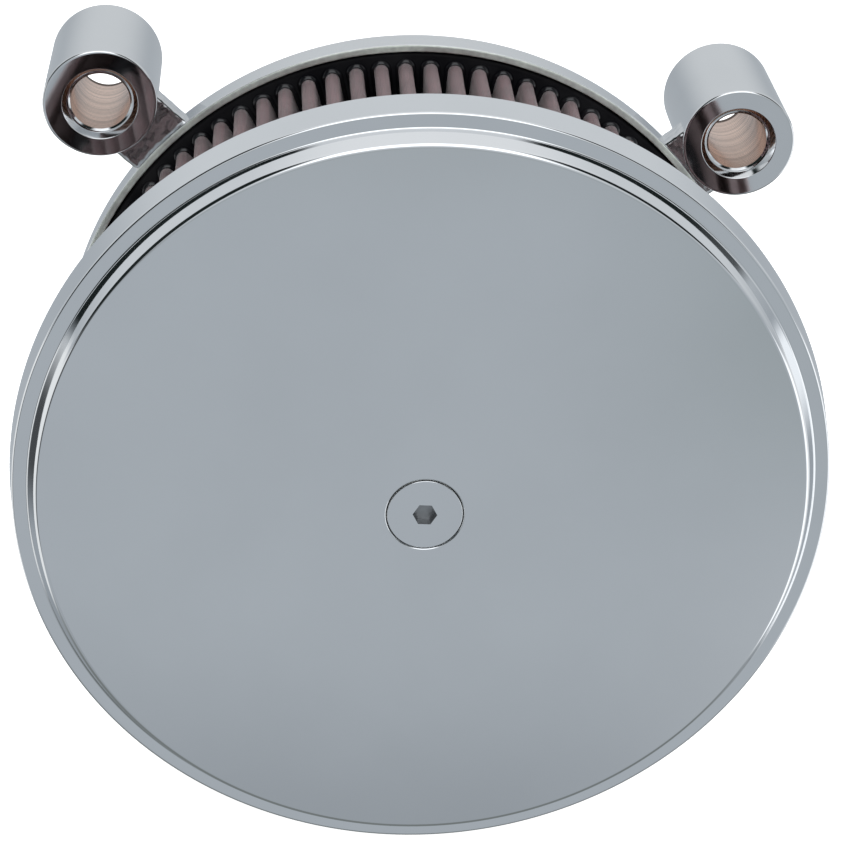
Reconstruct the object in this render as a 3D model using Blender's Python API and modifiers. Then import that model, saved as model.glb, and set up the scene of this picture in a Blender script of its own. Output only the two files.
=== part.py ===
"""Large round motorcycle air cleaner: backing plate, pleated filter, retaining plate and cover.

Metres, +Z up. The filter's axis lies along Y and the cover faces -Y, as the cleaner hangs on the engine.
The origin is the centre of the throttle body seat, on the rear plane of the backing plate.
Every piece is laid out on the bench first, with local z as its distance in front of that rear plane,
and one empty turns the whole assembly upright.
"""

from math import cos, pi, radians, sin, tan

import bmesh
import bpy
from mathutils import Matrix, Vector

MM = 0.001
GAP = 0.3 * MM
ASSEMBLY = "air_filter"

# Facets around a full turn
LARGE_STEPS = 48
MEDIUM_STEPS = 24
SMALL_STEPS = 16

# Backing plate
PLATE_RADIUS = 92.2 * MM
RIM_HEIGHT = 8.5 * MM
RIM_WIDTH = 2.0 * MM
FLOOR = 5.0 * MM
EDGE_ROUND = 0.4 * MM
REAR_RELIEF = 1.5 * MM
RELIEF_INNER, RELIEF_OUTER = 52.0 * MM, 84.0 * MM
THROAT_RADIUS = 25.4 * MM
BELL_RADIUS = 35.0 * MM
BELL_HEIGHT = 14.8 * MM

# Breather bosses, as seen from the front
BOSS_LEFT = Vector((-84.0, 72.1)) * MM
BOSS_RIGHT = Vector((81.2, 69.7)) * MM
BOSS_RADIUS = 14.6 * MM
BOSS_FRONT, BOSS_REAR = 9.6 * MM, -29.0 * MM
BOSS_BORE = 7.6 * MM
BOSS_COUNTERSINK = 2.1 * MM
GROOVE_RADIUS, GROOVE_HALF_WIDTH, GROOVE_DEPTH = 11.5 * MM, 1.2 * MM, 1.8 * MM
O_RING_THICKNESS = 1.5 * MM
ARM_UPPER_HALF, ARM_LOWER_HALF = 11.4 * MM, 8.0 * MM
ARM_END_TO_BOSS = 9.0 * MM
BOSS_CHAMFER = 0.6 * MM

# Fasteners on the backing plate
THROTTLE_SCREW_CIRCLE = 42.0 * MM
THROTTLE_SCREW_ANGLES = (30, 150, 270)
THROTTLE_SCREW_RADIUS = 3.1 * MM
THROTTLE_HEAD_RADIUS = 6.0 * MM
THROTTLE_HEAD_TOP = FLOOR - 0.5 * MM
THROTTLE_HEAD_EDGE = 0.5 * MM
THROTTLE_SCREW_TIP = -14.0 * MM
THROTTLE_SOCKET_DEPTH = 2.4 * MM
GASKET_THICKNESS = 1.0 * MM
POST_CIRCLE = 57.0 * MM
POST_ANGLES = (90, 210, 330)
POST_RADIUS = 5.5 * MM
POST_TOP = 64.0 * MM
POST_SHANK_RADIUS = 3.0 * MM
POST_TAP_DEPTH = 16.0 * MM
SMALL_SOCKET_ACROSS_CORNERS = 4.6 * MM
SCREW_TIP_CHAMFER = 0.8 * MM

# Filter element
SEAL_INNER, SEAL_OUTER = 68.5 * MM, 89.8 * MM
REAR_SEAL_THICKNESS, FRONT_SEAL_THICKNESS = 2.2 * MM, 7.0 * MM
FILTER_REAR = FLOOR + GAP
FILTER_FRONT = 77.3 * MM
PLEATS = 85
FIRST_PLEAT = 1.2
PLEAT_OUTER, PLEAT_INNER = 87.6 * MM, 70.5 * MM
PLEAT_RADIAL_THICKNESS = 4.9 * MM

# Retaining plate
SHEET_RETAINER = 1.5 * MM
RETAINER_RADIUS = 86.4 * MM
RETAINER_FLOOR = POST_TOP + GAP
RETAINER_FLANGE = FILTER_FRONT + GAP
DISH_RADIUS = 64.2 * MM
DISH_MOUTH = 66.4 * MM
NUT_ACROSS_CORNERS = 15.0 * MM
NUT_HEIGHT = 8.0 * MM
RETAINING_SCREW_RADIUS = 3.1 * MM
RETAINING_HEAD_RADIUS = 5.2 * MM
RETAINING_HEAD_HEIGHT = 3.2 * MM
RETAINING_SCREW_TIP = 53.4 * MM
RETAINING_SOCKET_DEPTH = 2.0 * MM
RETAINING_HOLE_PLAY = 0.5 * MM
LOCK_WASHER_THICKNESS = 1.0 * MM

# Cover
COVER_RADIUS = 101.6 * MM
COVER_REAR = 71.0 * MM
COVER_FLANGE = 80.6 * MM
COVER_STEP_OUTER, COVER_STEP_INNER = 96.6 * MM, 94.3 * MM
COVER_FACE = 85.2 * MM
COVER_DOME = 3.4 * MM
COVER_SHEET = 1.2 * MM
COVER_DRAFT = 1.3 * MM
COVER_CORNER = 0.8 * MM
COVER_GASKET_INNER, COVER_GASKET_OUTER = 80.0 * MM, 84.0 * MM
CENTRE_HOLE = 4.6 * MM

# Cover screw, 5/16 inch, whose flat head lies flush in a conical well
COVER_SCREW_RADIUS = 3.97 * MM
COVER_HEAD_RADIUS = 9.2 * MM
COVER_HEAD_EDGE = 0.4 * MM
COVER_HEAD_SLOPE = radians(41)
COVER_SCREW_TIP = 55.6 * MM
COVER_SOCKET_ACROSS_CORNERS = 6.0 * MM
COVER_SOCKET_DEPTH = 3.0 * MM
WELL_RADIUS, WELL_WALL = 9.45 * MM, 1.15 * MM
WELL_HOLE = 5.0 * MM
CONE_WASHER_NEAR, CONE_WASHER_FAR = 0.21 * MM, 0.68 * MM
CONE_WASHER_HEIGHTS = (82.9 * MM, 87.3 * MM)

parts = None
helpers = None
assembly = None


def clear_scene():
    for obj in list(bpy.data.objects):
        bpy.data.objects.remove(obj, do_unlink=True)


def make_collections():
    global parts, helpers, assembly
    parts = bpy.data.collections.new(ASSEMBLY)
    helpers = bpy.data.collections.new(ASSEMBLY + "_cutters")
    for collection in (parts, helpers):
        bpy.context.scene.collection.children.link(collection)
    helpers.hide_render = True
    assembly = bpy.data.objects.new(ASSEMBLY + "_axis", None)
    assembly.rotation_euler = (radians(90), 0, 0)
    parts.objects.link(assembly)


def material(name, colour, metallic, roughness):
    made = bpy.data.materials.new(name)
    made.use_nodes = True
    shader = made.node_tree.nodes["Principled BSDF"]
    shader.inputs["Base Color"].default_value = (*colour, 1.0)
    shader.inputs["Metallic"].default_value = metallic
    shader.inputs["Roughness"].default_value = roughness
    return made


def place(name, data, location, surface):
    """Adds an object at a bench position. One without a surface is a helper for a Boolean."""
    obj = bpy.data.objects.new(name, data)
    obj.location = location
    obj.parent = assembly
    if surface is None:
        helpers.objects.link(obj)
        obj.hide_render = True
        obj.display_type = "WIRE"
    else:
        parts.objects.link(obj)
        data.materials.append(surface)
    return obj


def turned(name, profile, steps, surface=None, at=(0.0, 0.0)):
    """Turns a profile of (radius, height) points, listed down its outer side, about the bench z axis.

    A profile that starts and ends on the axis stays open there, and any other one is closed.
    """
    mesh = bpy.data.meshes.new(name)
    last = len(profile) - 1
    edges = [(i, i + 1) for i in range(last)]
    if profile[0][0] > 0 or profile[-1][0] > 0:
        edges.append((last, 0))
    mesh.from_pydata([(r, 0.0, z) for r, z in profile], edges, [])
    obj = place(name, mesh, (at[0], at[1], 0.0), surface)
    screw = obj.modifiers.new("turn", "SCREW")
    screw.axis = "Z"
    screw.steps = steps
    screw.render_steps = steps
    screw.use_merge_vertices = True
    screw.merge_threshold = 0.01 * MM
    return obj


def prism(name, across_corners, low, high, surface=None, at=(0.0, 0.0), sides=6):
    """A prism with its axis along bench z, from one height to another."""
    mesh = bpy.data.meshes.new(name)
    work = bmesh.new()
    radius = across_corners / 2
    size = {"radius1": radius, "radius2": radius, "depth": high - low}
    bmesh.ops.create_cone(work, cap_ends=True, segments=sides, **size)
    bmesh.ops.translate(work, verts=work.verts, vec=(0, 0, (low + high) / 2))
    work.to_mesh(mesh)
    work.free()
    return place(name, mesh, (at[0], at[1], 0.0), surface)


def combine(obj, other, operation):
    step = obj.modifiers.new(operation.lower(), "BOOLEAN")
    step.operation = operation
    step.solver = "EXACT"
    step.object = other


def cut(obj, other):
    combine(obj, other, "DIFFERENCE")


def on_circle(radius, degrees):
    angle = radians(degrees)
    return Vector((radius * cos(angle), radius * sin(angle)))


def ring_profile(inner, outer, low, high):
    """A rectangular ring section."""
    return [(inner, high), (outer, high), (outer, low), (inner, low)]


def plate_profile():
    """Section of the disc: rim, filter seat, bell-mouthed throat and the relief behind the floor."""
    rim_inner = PLATE_RADIUS - RIM_WIDTH
    lip = BELL_RADIUS - THROAT_RADIUS
    bell = [
        (BELL_RADIUS - lip / 2 + lip / 2 * cos(t), BELL_HEIGHT - lip / 2 + lip / 2 * sin(t))
        for t in (radians(a) for a in (180, 120, 60, 0))
    ]
    return [
        (PLATE_RADIUS - EDGE_ROUND, RIM_HEIGHT),
        (PLATE_RADIUS, RIM_HEIGHT - EDGE_ROUND),
        (PLATE_RADIUS, EDGE_ROUND),
        (PLATE_RADIUS - EDGE_ROUND, 0.0),
        (RELIEF_OUTER, 0.0),
        (RELIEF_OUTER - REAR_RELIEF, REAR_RELIEF),
        (RELIEF_INNER + REAR_RELIEF, REAR_RELIEF),
        (RELIEF_INNER, 0.0),
        (THROAT_RADIUS, 0.0),
        *bell,
        (BELL_RADIUS, FLOOR),
        (rim_inner, FLOOR),
        (rim_inner, RIM_HEIGHT),
    ]


def boss_profile():
    """Section of a breather boss: countersunk bore at the front, O-ring groove at the rear."""
    groove_inner = GROOVE_RADIUS - GROOVE_HALF_WIDTH
    groove_outer = GROOVE_RADIUS + GROOVE_HALF_WIDTH
    chamfer = BOSS_CHAMFER
    return [
        (BOSS_BORE + BOSS_COUNTERSINK, BOSS_FRONT),
        (BOSS_RADIUS - chamfer, BOSS_FRONT),
        (BOSS_RADIUS, BOSS_FRONT - chamfer),
        (BOSS_RADIUS, BOSS_REAR + chamfer),
        (BOSS_RADIUS - chamfer, BOSS_REAR),
        (groove_outer, BOSS_REAR),
        (groove_outer, BOSS_REAR + GROOVE_DEPTH),
        (groove_inner, BOSS_REAR + GROOVE_DEPTH),
        (groove_inner, BOSS_REAR),
        (BOSS_BORE + chamfer, BOSS_REAR),
        (BOSS_BORE, BOSS_REAR + chamfer),
        (BOSS_BORE, BOSS_FRONT - BOSS_COUNTERSINK),
    ]


def arm(name, boss):
    """A bar from the middle of the rim into the boss wall, wider on its upper side."""
    start = PLATE_RADIUS - RIM_WIDTH / 2
    end = boss.length - ARM_END_TO_BOSS
    low, high = EDGE_ROUND, RIM_HEIGHT - EDGE_ROUND
    width = ARM_UPPER_HALF + ARM_LOWER_HALF
    aside = (ARM_UPPER_HALF - ARM_LOWER_HALF) / 2
    if boss.x < 0:
        aside = -aside
    mesh = bpy.data.meshes.new(name)
    work = bmesh.new()
    size = Matrix.Diagonal((end - start, width, high - low, 1.0))
    middle = Matrix.Translation(((start + end) / 2, aside, (low + high) / 2))
    bmesh.ops.create_cube(work, size=1.0, matrix=middle @ size)
    work.to_mesh(mesh)
    work.free()
    obj = place(name, mesh, (0, 0, 0), None)
    obj.rotation_euler.z = boss.angle_signed(Vector((1, 0)))
    return obj


def make_backing_plate(chrome):
    plate = turned("backing_plate", plate_profile(), LARGE_STEPS, chrome)
    for side, boss in (("left", BOSS_LEFT), ("right", BOSS_RIGHT)):
        combine(plate, arm("arm_" + side, boss), "UNION")
        combine(plate, turned("boss_" + side, boss_profile(), MEDIUM_STEPS, at=boss), "UNION")
    for number, angle in enumerate(POST_ANGLES, 1):
        at = on_circle(POST_CIRCLE, angle)
        hole = 2 * (POST_SHANK_RADIUS + GAP)
        cut(plate, prism(f"post_hole_{number}", hole, -MM, FLOOR + MM, at=at, sides=SMALL_STEPS))
    return plate


def countersink_profile():
    """The space that a flat-head throttle screw needs in the plate and its gasket."""
    shank = THROTTLE_SCREW_RADIUS + GAP
    head = THROTTLE_HEAD_RADIUS + GAP
    shoulder = THROTTLE_HEAD_TOP - THROTTLE_HEAD_EDGE - GAP / 2
    return [
        (0.0, FLOOR + MM),
        (head, FLOOR + MM),
        (head, shoulder),
        (shank, shoulder - (head - shank)),
        (shank, -4 * MM),
        (0.0, -4 * MM),
    ]


def make_throttle_side(plate, paper, zinc):
    """Gasket, and flat-head screws that pull the plate onto the throttle body."""
    low = -GAP - GASKET_THICKNESS
    gasket = turned(
        "throttle_gasket",
        ring_profile(THROAT_RADIUS + MM, RELIEF_INNER - MM, low, -GAP),
        LARGE_STEPS,
        paper,
    )
    top = THROTTLE_HEAD_TOP
    shoulder = top - THROTTLE_HEAD_EDGE
    neck = shoulder - (THROTTLE_HEAD_RADIUS - THROTTLE_SCREW_RADIUS)
    tip = THROTTLE_SCREW_TIP
    chamfer = SCREW_TIP_CHAMFER
    profile = [
        (0.0, top),
        (THROTTLE_HEAD_RADIUS, top),
        (THROTTLE_HEAD_RADIUS, shoulder),
        (THROTTLE_SCREW_RADIUS, neck),
        (THROTTLE_SCREW_RADIUS, tip + chamfer),
        (THROTTLE_SCREW_RADIUS - chamfer, tip),
        (0.0, tip),
    ]
    for number, angle in enumerate(THROTTLE_SCREW_ANGLES, 1):
        at = on_circle(THROTTLE_SCREW_CIRCLE, angle)
        space = turned(f"throttle_screw_space_{number}", countersink_profile(), SMALL_STEPS, at=at)
        cut(plate, space)
        cut(gasket, space)
        screw = turned(f"throttle_screw_{number}", profile, SMALL_STEPS, zinc, at)
        low = top - THROTTLE_SOCKET_DEPTH
        cut(screw, prism(f"throttle_socket_{number}", SMALL_SOCKET_ACROSS_CORNERS, low, top + MM, at=at))


def make_posts(zinc):
    """Round standoffs, shouldered on the plate's floor and tapped at the front."""
    tap_radius = RETAINING_SCREW_RADIUS + GAP
    tap_bottom = POST_TOP - POST_TAP_DEPTH
    profile = [
        (0.0, tap_bottom),
        (tap_radius, tap_bottom),
        (tap_radius, POST_TOP),
        (POST_RADIUS, POST_TOP),
        (POST_RADIUS, FLOOR + GAP),
        (POST_SHANK_RADIUS, FLOOR + GAP),
        (POST_SHANK_RADIUS, REAR_RELIEF + GAP),
        (0.0, REAR_RELIEF + GAP),
    ]
    for number, angle in enumerate(POST_ANGLES, 1):
        turned(f"standoff_post_{number}", profile, SMALL_STEPS, zinc, on_circle(POST_CIRCLE, angle))


def make_o_rings(rubber):
    """Round-section rings that seal the bosses' rear faces on the cylinder heads."""
    height = BOSS_REAR + GROOVE_DEPTH / 2
    half = O_RING_THICKNESS / 2
    angles = [-2 * pi * i / 6 for i in range(6)]
    profile = [(GROOVE_RADIUS + half * cos(a), height + half * sin(a)) for a in angles]
    for side, boss in (("left", BOSS_LEFT), ("right", BOSS_RIGHT)):
        turned(f"boss_o_ring_{side}", profile, MEDIUM_STEPS, rubber, boss)


def pleat_outline(curve, tip, valley):
    """One closed zigzag around the axis, with a tip and a valley for each pleat."""
    spline = curve.splines.new("POLY")
    spline.points.add(2 * PLEATS - 1)
    for i, point in enumerate(spline.points):
        at = on_circle(valley if i % 2 else tip, FIRST_PLEAT + 180.0 * i / PLEATS)
        point.co = (at.x, at.y, 0.0, 1.0)
    spline.use_cyclic_u = True


def make_filter(rubber, gauze):
    """Pleat pack between two moulded end rings."""
    rear_top = FILTER_REAR + REAR_SEAL_THICKNESS
    front_low = FILTER_FRONT - FRONT_SEAL_THICKNESS
    rear = ring_profile(SEAL_INNER, SEAL_OUTER, FILTER_REAR, rear_top)
    front = ring_profile(SEAL_INNER, SEAL_OUTER, front_low, FILTER_FRONT)
    turned("filter_lower_seal", rear, LARGE_STEPS, rubber)
    turned("filter_upper_seal", front, LARGE_STEPS, rubber)
    curve = bpy.data.curves.new("filter_media", "CURVE")
    curve.dimensions = "2D"
    curve.fill_mode = "BOTH"
    low, high = rear_top + GAP, front_low - GAP
    curve.extrude = (high - low) / 2
    pleat_outline(curve, PLEAT_OUTER, PLEAT_INNER + PLEAT_RADIAL_THICKNESS)
    pleat_outline(curve, PLEAT_OUTER - PLEAT_RADIAL_THICKNESS, PLEAT_INNER)
    place("filter_media", curve, (0, 0, (low + high) / 2), gauze)


def make_retainer(zinc):
    """Dished plate that closes the filter's front, with the nut for the cover screw under its floor."""
    front = RETAINER_FLANGE + SHEET_RETAINER
    floor_front = RETAINER_FLOOR + SHEET_RETAINER
    profile = [
        (CENTRE_HOLE, floor_front),
        (DISH_RADIUS - SHEET_RETAINER, floor_front),
        (DISH_MOUTH - SHEET_RETAINER, front),
        (RETAINER_RADIUS, front),
        (RETAINER_RADIUS, RETAINER_FLANGE),
        (DISH_MOUTH, RETAINER_FLANGE),
        (DISH_RADIUS, RETAINER_FLOOR),
        (CENTRE_HOLE, RETAINER_FLOOR),
    ]
    retainer = turned("retaining_plate", profile, LARGE_STEPS, zinc)
    for number, angle in enumerate(POST_ANGLES, 1):
        hole = 2 * (RETAINING_SCREW_RADIUS + RETAINING_HOLE_PLAY)
        low, high = RETAINER_FLOOR - MM, floor_front + MM
        at = on_circle(POST_CIRCLE, angle)
        cut(retainer, prism(f"retainer_hole_{number}", hole, low, high, at=at, sides=SMALL_STEPS))
    nut_top = RETAINER_FLOOR - GAP
    nut = prism("centre_nut", NUT_ACROSS_CORNERS, nut_top - NUT_HEIGHT, nut_top, zinc)
    bore = 2 * (COVER_SCREW_RADIUS + GAP)
    cut(nut, prism("centre_nut_bore", bore, nut_top - NUT_HEIGHT - MM, nut_top + MM, sides=SMALL_STEPS))


def make_retaining_screws(zinc):
    """Button-head screws with lock washers, from the retaining plate into the posts."""
    washer_low = RETAINER_FLOOR + SHEET_RETAINER + GAP
    washer_high = washer_low + LOCK_WASHER_THICKNESS
    under_head = washer_high + GAP
    top = under_head + RETAINING_HEAD_HEIGHT
    tip = RETAINING_SCREW_TIP
    chamfer = SCREW_TIP_CHAMFER
    washer_inner = RETAINING_SCREW_RADIUS + RETAINING_HOLE_PLAY
    washer = ring_profile(washer_inner, POST_RADIUS, washer_low, washer_high)
    screw = [
        (0.0, top),
        (0.6 * RETAINING_HEAD_RADIUS, top),
        (0.9 * RETAINING_HEAD_RADIUS, top - 0.35 * RETAINING_HEAD_HEIGHT),
        (RETAINING_HEAD_RADIUS, under_head + 0.15 * RETAINING_HEAD_HEIGHT),
        (RETAINING_HEAD_RADIUS, under_head),
        (RETAINING_SCREW_RADIUS, under_head),
        (RETAINING_SCREW_RADIUS, tip + chamfer),
        (RETAINING_SCREW_RADIUS - chamfer, tip),
        (0.0, tip),
    ]
    for number, angle in enumerate(POST_ANGLES, 1):
        at = on_circle(POST_CIRCLE, angle)
        turned(f"lock_washer_{number}", washer, SMALL_STEPS, zinc, at)
        made = turned(f"retaining_screw_{number}", screw, SMALL_STEPS, zinc, at)
        low = top - RETAINING_SOCKET_DEPTH
        cut(made, prism(f"retaining_socket_{number}", SMALL_SOCKET_ACROSS_CORNERS, low, top + MM, at=at))


def face_height(radius):
    """Height of the cover's shallow dome at a radius."""
    return COVER_FACE + COVER_DOME * (1 - (radius / COVER_STEP_INNER) ** 2)


def make_cover(chrome, rubber):
    """Spun sheet cover with a screw well, domed face, step, flange and tapered wall, and its rubber ring."""
    centre = face_height(0)
    cone_top = centre - WELL_WALL
    cone_bottom = cone_top - (WELL_RADIUS - WELL_HOLE) / tan(COVER_HEAD_SLOPE)
    dome = [(part * COVER_STEP_INNER, face_height(part * COVER_STEP_INNER)) for part in (0.2, 0.5, 0.8)]
    fillet = 0.3 * COVER_CORNER
    wall_top = COVER_RADIUS - COVER_DRAFT
    outer = [
        (WELL_HOLE, cone_bottom),
        (WELL_RADIUS, cone_top),
        (WELL_RADIUS, centre),
        *dome,
        (COVER_STEP_INNER, COVER_FACE),
        (COVER_STEP_OUTER - fillet, COVER_FLANGE + 2 * fillet),
        (COVER_STEP_OUTER + fillet, COVER_FLANGE),
        (wall_top - COVER_CORNER, COVER_FLANGE),
        (wall_top - fillet, COVER_FLANGE - fillet),
        (wall_top, COVER_FLANGE - COVER_CORNER),
        (COVER_RADIUS, COVER_REAR),
    ]
    mesh = bpy.data.meshes.new("cover")
    edges = [(i, i + 1) for i in range(len(outer) - 1)]
    mesh.from_pydata([(r, 0.0, z) for r, z in outer], edges, [])
    cover = place("cover", mesh, (0, 0, 0), chrome)
    screw = cover.modifiers.new("turn", "SCREW")
    screw.axis = "Z"
    screw.steps = LARGE_STEPS
    screw.render_steps = LARGE_STEPS
    screw.use_merge_vertices = True
    screw.merge_threshold = 0.01 * MM
    sheet = cover.modifiers.new("sheet", "SOLIDIFY")
    sheet.thickness = COVER_SHEET
    sheet.offset = -1
    sheet.use_even_offset = True
    low = RETAINER_FLANGE + SHEET_RETAINER + GAP
    high = face_height(COVER_GASKET_OUTER) - COVER_SHEET - 2 * GAP
    gasket = ring_profile(COVER_GASKET_INNER, COVER_GASKET_OUTER, low, high)
    turned("cover_gasket", gasket, LARGE_STEPS, rubber)


def make_cover_screw(chrome, nylon):
    """Flush flat-head screw with a hexagon socket, on a thin conical washer in the cover's well."""
    top = face_height(0)
    shoulder = top - COVER_HEAD_EDGE
    slope = tan(COVER_HEAD_SLOPE)
    neck = shoulder - (COVER_HEAD_RADIUS - COVER_SCREW_RADIUS) / slope
    low, high = CONE_WASHER_HEIGHTS
    head_low = COVER_HEAD_RADIUS - (shoulder - low) * slope
    head_high = COVER_HEAD_RADIUS - (shoulder - high) * slope
    washer = [
        (head_high + CONE_WASHER_NEAR, high),
        (head_high + CONE_WASHER_FAR, high),
        (head_low + CONE_WASHER_FAR, low),
        (head_low + CONE_WASHER_NEAR, low),
    ]
    turned("cover_screw_washer", washer, MEDIUM_STEPS, nylon)
    profile = [
        (0.0, top),
        (COVER_HEAD_RADIUS, top),
        (COVER_HEAD_RADIUS, shoulder),
        (COVER_SCREW_RADIUS, neck),
        (COVER_SCREW_RADIUS, COVER_SCREW_TIP + SCREW_TIP_CHAMFER),
        (COVER_SCREW_RADIUS - SCREW_TIP_CHAMFER, COVER_SCREW_TIP),
        (0.0, COVER_SCREW_TIP),
    ]
    screw = turned("cover_screw", profile, MEDIUM_STEPS, chrome)
    cut(screw, prism("cover_socket", COVER_SOCKET_ACROSS_CORNERS, top - COVER_SOCKET_DEPTH, top + MM))


def settle_meshes():
    """Replaces each turned piece's modifiers with their result, shaded smooth between its sharp edges."""
    bpy.context.view_layer.update()
    graph = bpy.context.evaluated_depsgraph_get()
    finished = {}
    for obj in parts.objects:
        if obj.type == "MESH":
            finished[obj] = bpy.data.meshes.new_from_object(obj.evaluated_get(graph))
    for obj, mesh in finished.items():
        obj.modifiers.clear()
        obj.data = mesh
        mesh.shade_smooth()
        mesh.set_sharp_from_angle(angle=radians(30))


def main():
    clear_scene()
    make_collections()
    chrome = material("chrome", (0.78, 0.79, 0.80), 1.0, 0.08)
    zinc = material("zinc_steel", (0.62, 0.62, 0.60), 1.0, 0.35)
    rubber = material("black_rubber", (0.015, 0.015, 0.017), 0.0, 0.45)
    gauze = material("cotton_gauze", (0.35, 0.19, 0.19), 0.0, 0.85)
    paper = material("gasket_paper", (0.20, 0.20, 0.19), 0.0, 0.8)
    nylon = material("white_nylon", (0.80, 0.80, 0.77), 0.0, 0.4)
    plate = make_backing_plate(chrome)
    make_throttle_side(plate, paper, zinc)
    make_posts(zinc)
    make_o_rings(rubber)
    make_filter(rubber, gauze)
    make_retainer(zinc)
    make_retaining_screws(zinc)
    make_cover(chrome, rubber)
    make_cover_screw(chrome, nylon)
    settle_meshes()


main()
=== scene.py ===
"""Looks of the round motorcycle air cleaner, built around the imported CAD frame.

Every piece is modelled on the bench: the filter's axis is bench z and heights are distances in front of the
backing plate's rear plane. `stand` then turns it upright, so that the cover faces -Y as in the frame.
"""

from math import atan2, cos, pi, radians, sin, sqrt, tan

import bmesh
import bpy
from mathutils import Matrix, Vector, noise


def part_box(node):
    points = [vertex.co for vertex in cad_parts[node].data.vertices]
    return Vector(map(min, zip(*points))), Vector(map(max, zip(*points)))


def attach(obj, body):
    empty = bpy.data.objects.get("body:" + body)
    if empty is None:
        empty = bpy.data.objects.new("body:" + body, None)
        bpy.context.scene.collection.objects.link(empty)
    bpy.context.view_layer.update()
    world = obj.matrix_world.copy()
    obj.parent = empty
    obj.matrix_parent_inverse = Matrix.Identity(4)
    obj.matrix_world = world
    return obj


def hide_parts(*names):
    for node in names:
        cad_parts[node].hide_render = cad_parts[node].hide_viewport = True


MM = 0.001
UPRIGHT = Matrix.Rotation(radians(90), 4, "X")

# Facets around a full turn
ROUND = 256
SCREW_FACETS = 192
BOSS_FACETS = 128
FINE = 96
HEAD_FACETS = 64
SMALL = 48

# Camera, in metres, degrees and millimetres
CAMERA_PLACE = (-0.05046, -0.65533, 0.30843)
CAMERA_TURN = (63.488, -3.849, -2.889)
CAMERA_LENS = 114.09

# Filter
PLEATS = 85
FIRST_PLEAT = radians(1.2)
PLEAT_TIP_HALF = 1.85 * MM
PLEAT_ROOT_HALF = 1.3 * MM
PLEAT_ROOT = 71.5 * MM
CLOTH = 0.8 * MM
SEAL_INNER = 68.5 * MM

# Cover and its screw
COVER_SHEET = 1.2 * MM
COVER_DRAFT = 1.3 * MM
SCREW_CONE = radians(41)

# Backing plate
PLATE_FLOOR = 5.0 * MM
BOSS_RADIUS = 14.6 * MM
BOSS_FRONT = 9.6 * MM
BOSS_FACE_TILT = {"left": radians(5.5), "right": radians(1.3)}

# Threads and hexagon keys
SCREW_PITCH_COVER = 25.4 / 18 * MM
SCREW_PITCH_SMALL = 25.4 / 20 * MM
SMALL_ROD = 3.08 * MM
SMALL_KEY = 3.97 * MM
COVER_KEY = 5.2 * MM

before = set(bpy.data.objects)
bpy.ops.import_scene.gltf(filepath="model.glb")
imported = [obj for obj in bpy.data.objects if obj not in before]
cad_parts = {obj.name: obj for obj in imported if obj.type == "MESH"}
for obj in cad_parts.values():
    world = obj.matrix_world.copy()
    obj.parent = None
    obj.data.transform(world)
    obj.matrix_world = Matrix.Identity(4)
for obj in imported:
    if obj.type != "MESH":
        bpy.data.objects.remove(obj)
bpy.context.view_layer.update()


class Span:
    """A round CAD node on the bench: its axis, its radius, and where it starts and ends along the axis."""

    def __init__(self, node):
        low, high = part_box(node)
        self.x = (low.x + high.x) / 2
        self.y = (low.z + high.z) / 2
        self.radius = (high.x - low.x) / 2
        self.rear = -high.y
        self.front = -low.y


# ---------------------------------------------------------------- shape helpers


def fillet(corners, closed=True, steps=6):
    """Rounds the corners of a profile. Each corner is (radius, height, rounding), the last one optional.

    A point just outside each arc keeps the shading of the flats beside it clean.
    """
    count = len(corners)
    points = []
    for i, corner in enumerate(corners):
        here = Vector(corner[:2])
        rounding = corner[2] if len(corner) > 2 else 0.0
        if rounding == 0.0 or (not closed and i in (0, count - 1)):
            points.append(here)
            continue
        back = Vector(corners[i - 1][:2]) - here
        ahead = Vector(corners[(i + 1) % count][:2]) - here
        half = back.angle(ahead) / 2
        reach = min(rounding / tan(half), 0.45 * back.length, 0.45 * ahead.length)
        radius = reach * tan(half)
        centre = here + (back.normalized() + ahead.normalized()).normalized() * radius / sin(half)
        first = here + back.normalized() * reach
        last = here + ahead.normalized() * reach
        start = atan2(first.y - centre.y, first.x - centre.x)
        sweep = atan2(last.y - centre.y, last.x - centre.x) - start
        sweep = (sweep + pi) % (2 * pi) - pi
        margin = 0.12 * MM
        if back.length - reach > 2 * margin:
            points.append(first + back.normalized() * margin)
        for k in range(steps + 1):
            angle = start + sweep * k / steps
            points.append(centre + radius * Vector((cos(angle), sin(angle))))
        if ahead.length - reach > 2 * margin:
            points.append(last + ahead.normalized() * margin)
    return [(max(p.x, 0.0), p.y) for p in points]


def finished(work, name):
    """Turns a bmesh into a mesh of that name."""
    mesh = bpy.data.meshes.new(name)
    work.to_mesh(mesh)
    work.free()
    return mesh


def lathe(profile, steps=ROUND, at=(0.0, 0.0), closed=True):
    """A turned mesh. The profile runs down its outer side; an open one starts and ends on the axis."""
    work = bmesh.new()
    rings = []
    for radius, height in profile:
        if radius < 1e-7:
            rings.append([work.verts.new((at[0], at[1], height))])
            continue
        ring = []
        for k in range(steps):
            angle = 2 * pi * k / steps
            ring.append(work.verts.new((at[0] + radius * cos(angle), at[1] + radius * sin(angle), height)))
        rings.append(ring)
    pairs = list(zip(rings, rings[1:]))
    if closed:
        pairs.append((rings[-1], rings[0]))
    for upper, lower in pairs:
        for k in range(steps):
            after = (k + 1) % steps
            corners = [upper[k % len(upper)], lower[k % len(lower)], lower[after % len(lower)]]
            corners.append(upper[after % len(upper)])
            distinct = list(dict.fromkeys(corners))
            if len(distinct) > 2:
                work.faces.new(distinct)
    return finished(work, "turned")


def ring_section(inner, outer, low, high, rounding):
    return fillet(
        [(inner, high, rounding), (outer, high, rounding), (outer, low, rounding), (inner, low, rounding)]
    )


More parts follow.
